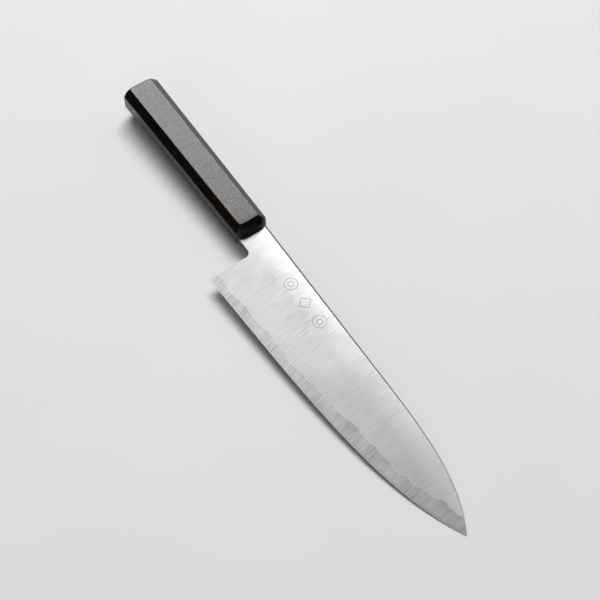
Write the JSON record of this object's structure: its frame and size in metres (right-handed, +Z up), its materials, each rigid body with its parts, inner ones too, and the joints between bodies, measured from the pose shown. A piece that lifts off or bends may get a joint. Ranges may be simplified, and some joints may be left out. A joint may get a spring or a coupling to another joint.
{
  "type": "chef knife",
  "caption": "Chef's knife with a wide laminated steel blade and an octagonal dark wooden handle, lying on its side.",
  "frame": {"origin": "under the middle of the knife's bounding box, on the surface that it lies on", "axes": "+X from the handle towards the tip, +Y from the cutting edge towards the spine, +Z up, out of the blade's right face. The knife leans 2.1 degrees down towards the tip, as it does at rest"},
  "size_m": [0.3988, 0.058, 0.0253],
  "materials": {
    "core_steel": "satin",
    "cladding_steel": "satin",
    "handle_wood": "satin",
    "bedding_resin": "satin",
    "seal_resin": "satin"
  },
  "bodies": {
    "root": {"blade_core": "core_steel", "cladding_right": "cladding_steel", "cladding_left": "cladding_steel", "handle_body": "handle_wood", "tang_bedding": "bedding_resin", "mouth_seal": "seal_resin"}
  },
  "joints": []
}
